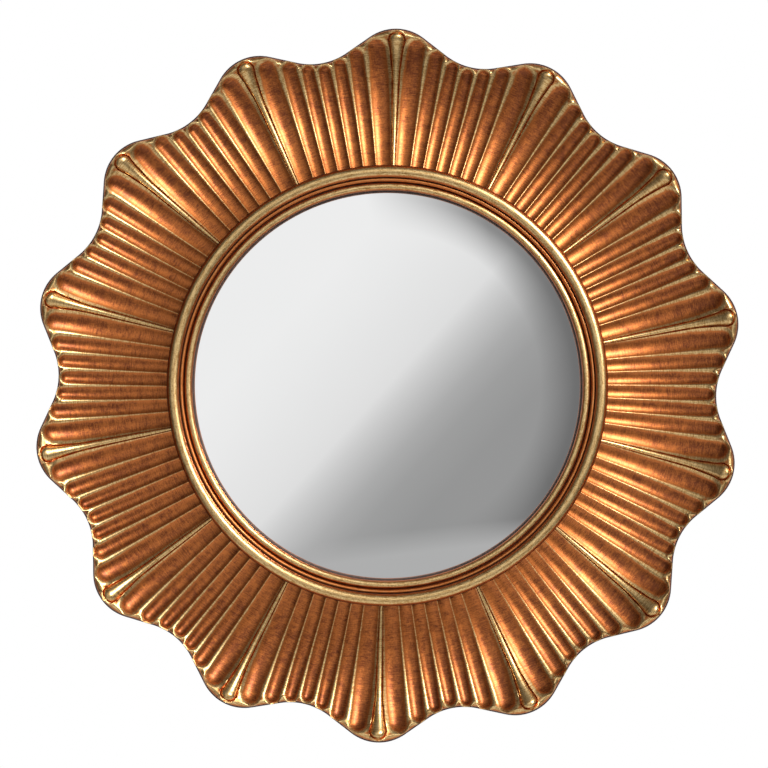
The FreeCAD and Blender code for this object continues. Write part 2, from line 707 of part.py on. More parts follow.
def make_button(number):
    """A flat bar that turns on a screw near one end. The screw's axis is the piece's z axis."""
    button = doc.addObject("PartDesign::Body", f"turn_button_{number}")
    sketch = new_sketch(button, f"button_outline_{number}")
    half = "( button_width / 2 )"
    trimmed_bar(sketch, f"0 - {half}", f"( button_length - {half} )", half, "button_corner")
    circle(sketch, "0", "0", "button_screw_shank + screw_play")
    raised(button, f"button_plate_{number}", sketch, "button_thickness", downwards=True)
    return button


def make_screws(name, places, shank, length, head_reach, head_height, drop):
    """Screws driven in from behind, with the undersides of their heads drop below the frame's back."""
    metal = []
    for i, (across, up) in enumerate(places, start=1):
        metal.append(peg(f"{name}_shank_{i}", across, up, shank, f"{length} + {head_height} / 2"))
        bind(metal[-1], Placement__Base__z=f"0 - {drop} - {head_height} / 2")
        metal.append(peg(f"{name}_head_{i}", across, up, head_reach, head_height))
        bind(metal[-1], Placement__Base__z=f"0 - {drop} - {head_height}")
    return joined(name, metal)


def peg(name, across, up, reach, height):
    """A many-sided peg along z, no wider than reach."""
    made = doc.addObject("Part::Prism", name)
    bind(made, Polygon="peg_sides", Circumradius=reach, Height=height)
    bind(made, Placement__Base__x=across, Placement__Base__y=up)
    return made


# ---------------------------------------------------------------------------- hanging hardware

EYE_REACH = "( bar_radius + bar_play + strap_thickness )"
BAR_DEPTH = f"( {EYE_REACH} + eye_lift )"


def make_strap(side):
    """A strap plate with an eye rolled round the bow's bar. The bar lies along the piece's y axis,
    and z = 0 is the frame's back."""
    strap = doc.addObject("PartDesign::Body", f"hanger_strap_{side}")
    sketch = new_sketch(strap, f"strap_outline_{side}")
    trimmed_bar(sketch, "0", "strap_length", "( strap_width / 2 )", "strap_corner")
    for i in (1, 2):
        circle(sketch, f"strap_screw_{i}", "0", "hanger_screw_shank + screw_play")
    raised(strap, f"strap_plate_{side}", sketch, "strap_thickness", downwards=True)
    sketch = new_sketch(strap, f"eye_outline_{side}", "XZ_Plane")
    circle(sketch, "0", f"0 - {BAR_DEPTH}", EYE_REACH)
    eye = raised(strap, f"eye_{side}", sketch, "strap_width")
    eye.Midplane = True
    sketch = new_sketch(strap, f"eye_bore_outline_{side}", "XZ_Plane")
    circle(sketch, "0", f"0 - {BAR_DEPTH}", "bar_radius + bar_play")
    bore = sunk(strap, f"eye_bore_{side}", sketch, "2 * strap_width")
    bore.Midplane = True
    return strap


def make_ring(side):
    """A flat bow with a round bar. The bar is the piece's y axis, and the bow points along -x."""
    ring = doc.addObject("PartDesign::Body", f"hanger_ring_{side}")
    sketch = new_sketch(ring, f"bow_outline_{side}")
    half, inner = "( ring_width / 2 )", "( ring_width / 2 - bow_width )"
    tight = "( bow_corner - bow_width * 0.6 )"
    profile(
        sketch,
        [
            ("bow_corner - ring_reach", f"0 - {half}"),
            ("bar_radius", f"0 - {half}"),
            ("bar_radius", f"0 - {inner}"),
            (f"bow_width - ring_reach + {tight}", f"0 - {inner}"),
            ("bow_width - ring_reach", f"{tight} - {inner}"),
            ("bow_width - ring_reach", f"{inner} - {tight}"),
            (f"bow_width - ring_reach + {tight}", inner),
            ("bar_radius", inner),
            ("bar_radius", half),
            ("bow_corner - ring_reach", half),
            ("0 - ring_reach", f"{half} - bow_corner"),
            ("0 - ring_reach", f"bow_corner - {half}"),
        ],
    )
    bow = raised(ring, f"bow_{side}", sketch, "bow_thickness")
    bow.Midplane = True
    sketch = new_sketch(ring, f"bar_outline_{side}", "XZ_Plane")
    circle(sketch, "0", "0", "bar_radius")
    bar = raised(ring, f"bar_{side}", sketch, "ring_width - 2 * bar_inset")
    bar.Midplane = True
    return ring


def make_bumpers():
    """Felt discs that hold the frame off the wall."""
    discs = []
    count = int(size("bumper_count"))
    for i in range(count):
        angle = FULL_TURN * (i + 0.5) / count
        across, up = (f"{BUMPER} * {turn}( {angle} )" for turn in ("cos", "sin"))
        discs.append(peg(f"bumper_{i + 1}", across, up, "bumper_radius", "wall_gap"))
        bind(discs[-1], Polygon="bumper_sides", Placement__Base__z="0 - wall_gap")
    return joined("wall_bumpers", discs)


# ---------------------------------------------------------------------------- the assembly


def upright():
    """From lying on its back to standing against the wall, with its face to -y."""
    turn = FreeCAD.Rotation(FreeCAD.Vector(1, 0, 0), 90)
    return FreeCAD.Placement(FreeCAD.Vector(0, -size("wall_gap"), 0), turn)


def lying(across, up, height, angle=0):
    """A place in the lying frame, turned about its z axis."""
    turn = FreeCAD.Rotation(FreeCAD.Vector(0, 0, 1), angle)
    return FreeCAD.Placement(FreeCAD.Vector(across, up, height), turn)


def build():
    """Every sub-part with its place in the lying frame."""
    whole = lying(0, 0, 0)
    pieces = [
        (make_frame(), whole),
        (make_slip(), whole),
        (make_glass(), whole),
        (make_pads(), whole),
        (make_board(), whole),
    ]
    for number, ((across, up), angle) in enumerate(zip(BUTTON_PLACES, BUTTON_ANGLES), start=1):
        place = lying(worked_out(across), worked_out(up), -size("button_lift"), angle + 180)
        pieces.append((make_button(number), place))
    button_screw = ("button_screw_shank", "button_screw_length", "button_head_reach", "button_head_height")
    pieces.append((make_screws("button_screws", BUTTON_PLACES, *button_screw, BUTTON_STACK), whole))
    for side, sign in (("left", -1), ("right", 1)):
        across, up, angle = sign * worked_out(HANGER), size("hanger_up"), 90 - 90 * sign
        pieces.append((make_strap(side), lying(across, up, 0, angle)))
        pieces.append((make_ring(side), lying(across, up, -worked_out(BAR_DEPTH), angle)))
    hanger_screw = ("hanger_screw_shank", "hanger_screw_length", "hanger_head_reach", "hanger_head_height")
    strap_screws = make_screws("hanger_screws", HANGER_SCREW_PLACES, *hanger_screw, "strap_thickness")
    pieces.append((strap_screws, whole))
    pieces.append((make_bumpers(), whole))
    return pieces


pieces = build()
doc.recompute()
for piece, place in pieces:
    piece.Label = piece.Name
    piece.Placement = upright().multiply(place)
doc.recompute()

for thing in doc.Objects:
    for trouble in ("Invalid", "Error"):
        if trouble in thing.State:
            raise RuntimeError(f"{thing.Name} is {trouble}")
os.makedirs("parts", exist_ok=True)
for piece, place in pieces:
    if piece.Shape.isNull() or not piece.Shape.isValid():
        raise RuntimeError(f"{piece.Label} has no sound shape")
    piece.Shape.exportStep(f"parts/{piece.Label}.step")
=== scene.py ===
"""A convex butlers mirror in a fluted, gilded frame. Lengths in the tables are millimetres."""

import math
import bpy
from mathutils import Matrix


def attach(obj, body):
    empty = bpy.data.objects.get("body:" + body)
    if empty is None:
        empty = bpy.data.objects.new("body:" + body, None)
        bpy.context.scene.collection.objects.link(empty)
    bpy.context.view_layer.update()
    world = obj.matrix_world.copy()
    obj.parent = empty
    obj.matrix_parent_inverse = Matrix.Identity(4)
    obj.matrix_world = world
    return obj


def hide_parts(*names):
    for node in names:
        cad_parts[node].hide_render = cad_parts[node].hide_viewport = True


bl_info = {
    "name": "Convex butlers mirror",
    "version": (1, 0, 0),
    "blender": (4, 5, 0),
    "location": "3D Viewport > Sidebar > Mirror",
    "description": "Builds the looks of a convex mirror in a scalloped gilt frame",
    "category": "Add Mesh",
}

import bpy
import bmesh
from bpy.props import FloatProperty, FloatVectorProperty, IntProperty, PointerProperty
from mathutils import Matrix, Vector

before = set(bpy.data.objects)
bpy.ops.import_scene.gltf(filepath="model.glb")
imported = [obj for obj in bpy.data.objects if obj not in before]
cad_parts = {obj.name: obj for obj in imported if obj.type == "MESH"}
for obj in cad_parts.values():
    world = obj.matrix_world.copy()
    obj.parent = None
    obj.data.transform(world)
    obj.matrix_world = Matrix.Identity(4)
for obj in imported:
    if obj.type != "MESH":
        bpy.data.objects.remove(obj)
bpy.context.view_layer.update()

MM = 0.001
WALL_GAP = 4.0
LOBES = 14
HALF_LOBE = math.pi / LOBES
TIP_REACH, TIP_ROUND = 234.98, 30.0
VALLEY_REACH, VALLEY_ROUND = 216.58, 42.0
RIM_DRAFT = math.tan(math.radians(4.5))
BORE, LEDGE_REACH, LEDGE_HEIGHT = 134.0, 144.65, 11.0
RECESS_REACH, RECESS_DEPTH = 141.5, 4.0
DISH_ROUND, DISH_REACH, DISH_FLOOR = 120.0, 178.0, 9.0
DROP_REACH, DROP_HEAD, DROP_NECK_REACH, DROP_SWELL_REACH = 225.7, 5.0, 214.0, 190.0
RIDGES_IN = (0.35, 0.61, 0.87)
RIDGES_OUT = (0.408, 0.665, 0.889)
HEAD_MARGINS = (5.2, 2.9, 2.4, 3.0)
HEADS_FROM, RIM_ROW_REACH = 210.0, 216.0
LIP_ROOM, DROP_LIP_ROOM, LIP_RUB, LIP_SET_IN = 1.25, 1.6, 1.3, 0.4
RIM_EDGE, RIM_SHADE_FROM = 1.1, 213.5
COLUMNS = (-1, -0.88, -0.66, -0.35, 0, 0.35, 0.66, 0.88)
ROWS_SPLIT, INNER_ROWS, OUTER_ROWS = 0.73, 20, 28  # the rows are closer past this part of the way
WELD = 2e-5

SLIP_REACH, SIGHT_REACH = 144.5, 127.5
BEADS = (  # middle, height of its centre, radius, how far its crown is painted pale: rubbed gilding and a painted highlight
    (140.25, 16.55, 3.95, 1.0),
    (134.9, 15.3, 1.25, 0.35),
    (130.5, 13.35, 2.5, 0.9),
)
BEAD_SPREADS = ((88, 74, 18), (75, 80, 8), (80, 75, 12))  # degrees outwards and inwards, steps
BEAD_JOINTS = ([(136.2, 15.1)], [(133.3, 13.4)], [(127.9, 12.9), (SIGHT_REACH, 12.5)])
SHADED_CREASES_AND_SEAMS = (  # painted shade in the creases between the beads and at the glass edge, and the dark seam at the slip's foot: from, to, below this height
    (144.0, 150.0, 15.5),
    (135.9, 136.6, 16.4),
    (132.8, 133.7, 14.4),
    (0.0, 128.1, 13.1),
)
GLASS_REACH, GLASS_ROUND, GLASS_THICKNESS, GLASS_DROP = 133.0, 520.0, 3.0, 0.30

BUMPER_REACH, BUMPER_ROUND = 192.0, 6.9
BUTTON_PIVOT, BUTTON_MIDDLE, BUTTON_DEPTH = 150.5, -9.5, 0.75
BUTTON_SIZES, BUTTON_CORNER = (30, 1.4, 11), 5.4
BUTTON_HEAD, BUTTON_HEAD_DROP, SLOT_WIDTH = (3.4, 1.6), 1.5, 0.9
HANGER_OUT, HANGER_UP, BAR_DEPTH = 158.0, 70.0, 1.96
STRAP_SIZES, STRAP_CORNER, STRAP_HEAD = (34, 0.8, 11), 4.5, (2.8, 1.2)
STRAP_HEAD_DROP = -0.8  # these heads stand inside the straps' plates
STRAP_SCREWS = ((7.2, 0.4), (26.0, 1.3))  # along the strap, turn of the slot
EYE_ROUND, BAR_ROUND, BAR_LENGTH = 1.86, 1.0, 20.4
BOW_ROUND, WIRE_ROUND, BOW_MIDDLE, ARM_LENGTH = 9.4, 1.05, -4, 4.4

# The stage, in metres
FLOOR_REACH, FLOOR_DROP = 1.0, 0.8
KEY_PLACE, KEY_SIZE, KEY_POWER = (1.29, -1.755, 1.008), 0.8, 60.0
ROOM_SIDES, ROOM_LEVEL, ROOM_EDGE, ROOM_LOW = 0.10, 0.5, 0.13, 0.45
ROOM_SLANT = (0.755, 0, -0.656)
ROOM_GREYS = (
    (0.34, 0.90),
    (0.39, 0.87),
    (0.45, 0.82),
    (0.475, 0.80),
    (0.50, 0.77),
    (0.521, 0.65),
    (0.5425, 0.55),
    (0.5725, 0.43),
    (0.605, 0.36),
    (0.655, 0.32),
)
WHITE = (1, 1, 1)
PICTURE, PIXEL, ROLL = 768, 0.0006564, -1.55
CAMERA_DISTANCE, SHARP_PLANE, SENSOR = 2.6, 0.012, 36
SHIFT_X, SHIFT_Y = -(387.4 - 384) / PICTURE, (385.6 - 384) / PICTURE


# ---------------------------------------------------------------------------- settings


class MirrorSizes(bpy.types.PropertyGroup):
    flute_depth: FloatProperty(
        name="Flute depth",
        description="Depth of the flutes at their rounded heads",
        default=0.0022,
        min=0.0005,
        max=0.005,
        subtype="DISTANCE",
        unit="LENGTH",
    )
    ridge_width: FloatProperty(
        name="Ridge width",
        description="Width of the ridges between flutes at their heads",
        default=0.0030,
        min=0.0005,
        max=0.004,
        subtype="DISTANCE",
        unit="LENGTH",
    )
    turning_steps: IntProperty(
        name="Turning steps",
        description="Faces round each turned piece",
        default=192,
        min=32,
        max=512,
    )


def colour_setting(name, description, default):
    return FloatVectorProperty(
        name=name,
        description=description,
        default=default,
        subtype="COLOR",
        min=0,
        max=1,
    )


class MirrorFinishes(bpy.types.PropertyGroup):
    # pale_gold also paints the highlight on the slip's bead crowns
    pale_gold: colour_setting("Pale gold", "Rubbed gilding on ridges, lips and teardrops", (0.78, 0.55, 0.25))
    copper: colour_setting("Copper", "Worn gilding in the hollows", (0.52, 0.155, 0.032))
    # ground also darkens the outer flutes' floors as painted shade
    ground: colour_setting("Ground", "Red-brown ground that shows through the gilding", (0.15, 0.032, 0.008))
    zinc: colour_setting("Zinc", "Plated turn buttons and screws", (0.60, 0.61, 0.63))
    brass: colour_setting("Brass", "Plated hanging hardware", (0.66, 0.48, 0.20))


# ---------------------------------------------------------------------------- modelling helpers


def deselect():
    if bpy.context.object and bpy.context.object.mode != "OBJECT":
        bpy.ops.object.mode_set(mode="OBJECT")
    bpy.ops.object.select_all(action="DESELECT")


def started(name):
    """The primitive that was just added, under its own name."""
    piece = bpy.context.object
    piece.name = name
    piece.data.name = name
    return piece


def choose(*pieces):
    """Selects pieces only, and makes the first of them the active one."""
    deselect()
    for piece in pieces:
        piece.select_set(True)
    bpy.context.view_layer.objects.active = pieces[0]


def edit(piece):
    choose(piece)
    bpy.ops.object.mode_set(mode="EDIT")
    bpy.ops.mesh.select_all(action="SELECT")


def done():
    bpy.ops.object.mode_set(mode="OBJECT")


def place_in_mesh(piece):
    """Moves an object's place into its mesh."""
    bpy.context.view_layer.update()
    piece.data.transform(piece.matrix_world)
    piece.matrix_world = Matrix.Identity(4)


def apply_all(piece):
    choose(piece)
    for modifier in list(piece.modifiers):
        bpy.ops.object.modifier_apply(modifier=modifier.name)


def smooth(piece, angle=35):
    choose(piece)
    bpy.ops.object.shade_smooth_by_angle(angle=math.radians(angle))


def tidy_mesh(piece, gap=1e-6):
    edit(piece)
    bpy.ops.mesh.remove_doubles(threshold=gap)
    bpy.ops.mesh.select_all(action="SELECT")
    bpy.ops.mesh.normals_make_consistent(inside=False)
    done()


def turned(name, section, steps, angle):
    """Spins a closed section [(reach, height over the frame's back)] about the mirror's axis."""
    deselect()
    bpy.ops.mesh.primitive_circle_add(vertices=len(section), radius=1, fill_type="NOTHING")
    piece = started(name)
    for point, (reach, height) in zip(piece.data.vertices, section):
        point.co = (reach * MM, -(height + WALL_GAP) * MM, 0)
    edit(piece)
    bpy.ops.mesh.spin(steps=steps, angle=2 * math.pi, center=(0, 0, 0), axis=(0, 1, 0))
    done()
    tidy_mesh(piece)
    smooth(piece, angle)
    return piece


def join(pieces):
    choose(*pieces)
    bpy.ops.object.join()
    return pieces[0]


def copied(piece, name, turn):
    """A copy with its own mesh, put in its place."""
    twin = piece.copy()
    twin.data = piece.data.copy()
    twin.name = name
    twin.data.name = name
    bpy.context.scene.collection.objects.link(twin)
    twin.data.transform(turn)
    return twin


def finish_piece(piece, body, slot_name, material, *nodes):
    piece.data.materials.clear()
    piece.data.materials.append(material)
    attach(piece, body)
    if nodes:
        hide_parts(*nodes)


def reach_and_height(point):
    """How far a point is from the axis and over the frame's back, in millimetres."""
    return math.hypot(point.x, point.z) / MM, -point.y / MM - WALL_GAP


def select_upright_edges(piece, past=None):
    """Selects the edges that run from front to back, or only those past a place along x."""
    bpy.ops.mesh.select_all(action="DESELECT")
    mesh = bmesh.from_edit_mesh(piece.data)
    for edge in mesh.edges:
        run = edge.verts[1].co - edge.verts[0].co
        edge.select = abs(run.y) > 0.9 * run.length and (past is None or edge.verts[0].co.x > past)
    bmesh.update_edit_mesh(piece.data)


def bevel(piece, width, segments, angle_limit=30):
    """Rounds a piece's sharp edges."""
    modifier = piece.modifiers.new("rounded", "BEVEL")
    modifier.width = width * MM
    modifier.segments = segments
    modifier.limit_method = "ANGLE"
    modifier.angle_limit = math.radians(angle_limit)
    apply_all(piece)


# ---------------------------------------------------------------------------- the fluted frame's shape


def share_of(reach):
    """How far out over the flutes a reach is: 0 at the ledge and 1 at the teardrops' necks."""
    return (reach - LEDGE_REACH) / (DROP_NECK_REACH - LEDGE_REACH)


def mix(a, b, share):
    return a + (b - a) * share


def ease(low, high, value):
    share = min(max((value - low) / (high - low), 0.0), 1.0)
    return share * share * (3 - 2 * share)


def dish(reach):
    return DISH_FLOOR + DISH_ROUND - math.sqrt(DISH_ROUND**2 - (reach - DISH_REACH) ** 2)


def rim_reach(angle):
    """From the axis to the back edge of the rim, on a ray at an angle from a lobe's axis."""
    ray = Vector((math.sin(angle), math.cos(angle)))
    tip = Vector((0, TIP_REACH - TIP_ROUND))
    valley = Vector((math.sin(HALF_LOBE), math.cos(HALF_LOBE))) * (VALLEY_REACH + VALLEY_ROUND)
    between = valley - tip
    lean = math.acos((TIP_ROUND + VALLEY_ROUND) / between.length)
    slant = math.atan2(between.y, between.x) + lean
    off = Vector((math.cos(slant), math.sin(slant)))
    crown_end = tip + off * TIP_ROUND
    hollow_end = valley - off * VALLEY_ROUND
    if angle <= math.atan2(crown_end.x, crown_end.y):
        along = ray.dot(tip)
        return along + math.sqrt(along**2 - tip.length_squared + TIP_ROUND**2)
    if angle >= math.atan2(hollow_end.x, hollow_end.y):
        along = ray.dot(valley)
        return along - math.sqrt(along**2 - valley.length_squared + VALLEY_ROUND**2)
    return crown_end.dot(off) / ray.dot(off)


def stem_half(reach):
    """Half the teardrop's width: a thin stem beside the slip that swells to the round head."""
    stem = 0.8 + 1.25 * max(share_of(reach), 0.0) ** 0.8
    swell = max(reach - DROP_SWELL_REACH, 0.0) / (DROP_REACH - DROP_SWELL_REACH)
    return mix(stem, DROP_HEAD, min(swell, 1.0) ** 3)


def channel(reach):
    """Width of the groove round the teardrop."""
    return mix(0.35, 0.8, min(share_of(reach), 1.0))


def fillet(reach):
    """Width of the fine roll outside that groove."""
    return mix(0.3, 0.6, min(share_of(reach), 1.0))


def marks(reach):
    """Angles of the flutes' edges at a reach, from the teardrop's lane to past the valley."""
    share = min(share_of(reach), 1.15)
    first = (stem_half(reach) + channel(reach) + fillet(reach)) / reach
    rest = [mix(i, o, share) * HALF_LOBE for i, o in zip(RIDGES_IN, RIDGES_OUT)]
    return [first] + rest + [2 * HALF_LOBE - rest[-1]]


def ridge_half(reach, widest):
    """Half the width of the ridge between two flutes."""
    return mix(0.30, widest / 2, max(min(share_of(reach), 1.0), 0.0) ** 2.2)


def heads(widest):
    """Each flute's head: (angle of its middle, reach of the head's centre, half width)."""
    found = []
    for i, margin in enumerate(HEAD_MARGINS):
        edges = marks(DROP_REACH - 6)
        middle = (edges[i] + edges[i + 1]) / 2
        top = rim_reach(min(middle, HALF_LOBE)) - margin
        edges = marks(top - 4)
        half = (edges[i + 1] - edges[i]) * (top - 4) / 2 - ridge_half(top, widest)
        found.append((middle, top - half, half))
    return found


def lip_reach(angle, flute_heads):
    """How far out the front's lip stands on a ray: it arches round each flute's head."""
    outer = rim_reach(angle)
    limit = outer - RIM_DRAFT * dish(outer - 2) - LIP_SET_IN
    found = outer - HEAD_MARGINS[0]
    for middle, centre, half in flute_heads:
        across = (angle - middle) * centre
        arch = (half + LIP_ROOM) ** 2 - across**2
        if arch > 0:
            found = max(found, centre + math.sqrt(arch))
    arch = (DROP_HEAD + DROP_LIP_ROOM) ** 2 - (angle * DROP_REACH) ** 2
    if arch > 0:
        found = max(found, DROP_REACH + math.sqrt(arch))
    return min(found, limit)


def drop_gap(reach, across):
    """How far a point is outside the teardrop's outline. It is below zero inside."""
    if reach > DROP_REACH:
        return math.hypot(across, reach - DROP_REACH) - DROP_HEAD
    return across - stem_half(reach)


def relief(reach, angle, flute_heads, deepest, widest):
    """(height over the dish, how pale the gilding is) at a point of the front. It is paler where the gilding
    is rubbed; the middle of the outer flutes' floors is less pale, showing more red-brown ground as a painted
    shade.
    """
    across = angle * reach
    gap = drop_gap(reach, across)
    width = stem_half(reach)
    groove, roll = channel(reach), fillet(reach)
    out_share = max(min(share_of(reach), 1.0), 0.0)
    if gap < 0:
        part = min(-gap / width, 1.0)
        return 0.8 * width * math.sqrt(1 - (1 - part) ** 2), 1.0
    if gap < groove:
        return -0.6 * (0.3 + groove) * math.sin(math.pi * gap / groove) ** 0.8, 0.05
    rise, shine = 0.0, 0.0
    if gap < groove + roll:
        rise = 0.4 * roll * math.sin(math.pi * (gap - groove) / roll)
        shine = 0.50
    edges = marks(reach)
    i = 0
    while i < 3 and angle > edges[i + 1]:
        i += 1
    middle = (edges[i] + edges[i + 1]) / 2
    ridge = ridge_half(reach, widest)
    half = (edges[i + 1] - edges[i]) * reach / 2 - ridge
    side = (angle - middle) * reach
    centre, head_half = flute_heads[i][1:]
    if reach > centre:
        half = mix(half, head_half, ease(centre, centre + head_half, reach))
        away = math.hypot(side, reach - centre) / half
    else:
        away = abs(side) / half
    depth = mix(0.62 * deepest, deepest, out_share)
    if away < 1:
        part = (1 - away**2) ** 0.88
        near_edge = ease(mix(0.86, 0.76, out_share), 1.0, away) * mix(0.45, 0.75, out_share)
        # painted shade: the middle of the outer flutes' floors is made less pale, so more red-brown ground
        # shows and the floor is darker
        rub_and_painted_light = max(near_edge, shine) - 0.3 * out_share * (1 - away**2)
        return rise - depth * part * ease(groove, groove + 1.2 * roll, gap), rub_and_painted_light
    out = (away - 1) * half
    crown = 0.45 * ridge * (1 - (1 - min(out / ridge, 1.0)) ** 2)
    crest = mix(0.55, 1.0, ease(0.0, 0.8 * ridge, out)) * mix(0.60, 1.0, out_share)
    crest *= 1 - 0.75 * ease(widest / 2, widest, out)
    lip = ease(LIP_RUB, 0.3 * LIP_RUB, lip_reach(angle, flute_heads) - reach)
    return rise + crown, max(shine, crest, lip)


def grid_angles(reach, widest):
    """The angles of the grid's lines at a reach, which keep to the ridges and the teardrop."""
    lane = stem_half(reach)
    first = [lane * part for part in (0, 0.4, 0.75, 0.93, 1.0)]
    first += [lane + channel(reach) * part for part in (0.5, 1.0)]
    first += [lane + channel(reach) + fillet(reach) * 0.5]
    angles = [across / reach for across in first]
    edges = marks(reach)
    edges[0] = (lane + channel(reach) + fillet(reach)) / reach
    for i in range(4):
        middle, half = (edges[i] + edges[i + 1]) / 2, (edges[i + 1] - edges[i]) / 2
        inner = 1 - ridge_half(reach, widest) / (half * reach)
        stops = [-1.0] + [part * inner for part in COLUMNS] + [inner]
        if i == 3:
            stops = [part for part in stops if part <= 0]
        angles += [middle + half * part for part in stops]
    return angles


# ---------------------------------------------------------------------------- materials


class Nodes:
    """A node tree of a material or a world, with short calls for what the finishes need."""

    def __init__(self, name, kind=None):
        self.owner = (bpy.data.materials if kind is None else kind).new(name)
        self.owner.use_nodes = True
        self.tree = self.owner.node_tree
        outputs = [node for node in self.tree.nodes if node.bl_idname.startswith("ShaderNodeOutput")]
        self.output = outputs[0]
        self.shader = self.output.inputs["Surface"].links[0].from_node

    def add(self, kind, **settings):
        node = self.tree.nodes.new(f"ShaderNode{kind}")
        for key, value in settings.items():
            setattr(node, key, value)
        return node

    def link(self, source, target):
        self.tree.links.new(source, target)

    def coordinates(self):
        return self.add("TexCoord").outputs["Object"]

    def noise(self, vector, scale, detail, rough):
        node = self.add("TexNoise")
        node.inputs["Scale"].default_value = scale
        node.inputs["Detail"].default_value = detail
        node.inputs["Roughness"].default_value = rough
        self.link(vector, node.inputs["Vector"])
        return node.outputs["Fac"]

    def ramp(self, value, *stops):
        node = self.add("ValToRGB")
        while len(node.color_ramp.elements) < len(stops):
            node.color_ramp.elements.new(0.5)
        for element, (where, colour) in zip(node.color_ramp.elements, stops):
            element.position = where
            element.color = (*colour, 1) if isinstance(colour, (tuple, list)) else (colour,) * 3 + (1,)
        self.link(value, node.inputs["Fac"])
        return node.outputs["Color"]

    def mixed(self, share, low, high):
        node = self.add("Mix", data_type="RGBA")
        for socket, value in ((node.inputs[0], share), (node.inputs[6], low), (node.inputs[7], high)):
            if isinstance(value, bpy.types.NodeSocket):
                self.link(value, socket)
            else:
                socket.default_value = (*value, 1)
        return node.outputs[2]

    def math(self, operation, *values):
        node = self.add("Math", operation=operation)
        for socket, value in zip(node.inputs, values):
            if isinstance(value, bpy.types.NodeSocket):
                self.link(value, socket)
            else:
                socket.default_value = value
        return node.outputs[0]

    def towards(self, direction, way):
        """How far a direction points a given way."""
        node = self.add("VectorMath", operation="DOT_PRODUCT")
        node.inputs[1].default_value = way
        self.link(direction, node.inputs[0])
        return node.outputs["Value"]

    def bump(self, height, distance, strength):
        node = self.add("Bump")
        node.inputs["Distance"].default_value = distance
        node.inputs["Strength"].default_value = strength
        self.link(height, node.inputs["Height"])
        self.link(node.outputs["Normal"], self.shader.inputs["Normal"])

    def set(self, **values):
        for key, value in values.items():
            socket = self.shader.inputs[key.replace("_", " ")]
            if isinstance(value, bpy.types.NodeSocket):
                self.link(value, socket)
            else:
                socket.default_value = value


def combed(nodes, coordinates, across, along):
    """Coordinates that change fast with the reach from the axis and slowly along the circle."""
    flat = nodes.add("VectorMath", operation="MULTIPLY")
    flat.inputs[1].default_value = (1, 0, 1)
    nodes.link(coordinates, flat.inputs[0])
    length = nodes.add("VectorMath", operation="LENGTH")
    nodes.link(flat.outputs[0], length.inputs[0])
    split = nodes.add("SeparateXYZ")
    nodes.link(coordinates, split.inputs[0])
    joined = nodes.add("CombineXYZ")
    nodes.link(nodes.math("MULTIPLY", length.outputs["Value"], across), joined.inputs["X"])
    nodes.link(nodes.math("MULTIPLY", split.outputs["X"], along), joined.inputs["Y"])
    nodes.link(nodes.math("MULTIPLY", split.outputs["Z"], along), joined.inputs["Z"])
    return joined.outputs["Vector"]


def gilding(name, finishes):
    """Gold leaf over a red-brown ground: pale where it is rubbed, and copper in the hollows. The paleness
    follows a point attribute, which also paints a highlight on the slip's bead crowns and shade on the outer
    flutes' floors.
    """
    nodes = Nodes(name)
    coordinates = nodes.coordinates()
    brushed = nodes.noise(combed(nodes, coordinates, 2400.0, 200.0), 1.0, 2.0, 0.5)
    grain = nodes.noise(coordinates, 900.0, 4.0, 0.7)
    mottle = nodes.noise(coordinates, 150.0, 4.0, 0.6)
    fine = nodes.math("ADD", nodes.math("MULTIPLY", brushed, 0.5), nodes.math("MULTIPLY", grain, 0.5))
    worn = nodes.math("ADD", nodes.math("MULTIPLY", fine, 0.7), nodes.math("MULTIPLY", mottle, 0.3))
    attribute = nodes.add("Attribute", attribute_name="rub_and_painted_light").outputs["Fac"]
    kept = nodes.math("ADD", worn, nodes.math("MULTIPLY", attribute, 0.3))
    ground_share = nodes.ramp(kept, (0.38, 0.9), (0.54, 0.0))
    hollow = nodes.mixed(ground_share, finishes.copper, finishes.ground)
    dull_gold = tuple(part * share for part, share in zip(finishes.pale_gold, (0.50, 0.34, 0.16)))
    pale = nodes.mixed(nodes.ramp(fine, (0.38, 0.0), (0.56, 1.0)), dull_gold, finishes.pale_gold)
    uneven = nodes.math("MULTIPLY", nodes.math("SUBTRACT", worn, 0.5), 0.9)
    share = nodes.ramp(nodes.math("ADD", attribute, uneven), (0.30, 0.0), (0.78, 1.0))
    nodes.set(
        Base_Color=nodes.mixed(share, hollow, pale),
        Metallic=1.0,
        Roughness=nodes.mixed(share, (0.43,) * 3, (0.37,) * 3),
        Coat_Weight=0.35,
        Coat_Roughness=0.35,
    )
    nodes.bump(worn, 0.00012, 0.5)
    return nodes.owner


def rim_shade_and_dark_back(finishes):
    """Near-black with dark brown mottle: the frame's back in its own dark colour, and the rim's steep wall as
    a painted shade.
    """
    nodes = Nodes("dark rim")
    mottle = nodes.noise(nodes.coordinates(), 240.0, 5.0, 0.65)
    # dimmed ground: painted shade on the rim's wall, and the back's own dark colour
    dark = tuple(part * 0.15 for part in finishes.ground)
    brown = tuple(part * 0.6 for part in finishes.ground)
    nodes.set(
        Base_Color=nodes.ramp(mottle, (0.42, dark), (0.70, brown)),
        Roughness=0.7,
        Specular_IOR_Level=0.05,
    )
    nodes.bump(mottle, 0.0002, 0.5)
    return nodes.owner


def silvered_glass():
    nodes = Nodes("silvered glass")
    haze = nodes.noise(nodes.coordinates(), 9.0, 2.0, 0.4)
    nodes.set(
        Base_Color=nodes.ramp(haze, (0.3, (0.93, 0.935, 0.935)), (0.7, (0.95, 0.95, 0.95))),
        Metallic=1.0,
        Roughness=0.0,
    )
    return nodes.owner


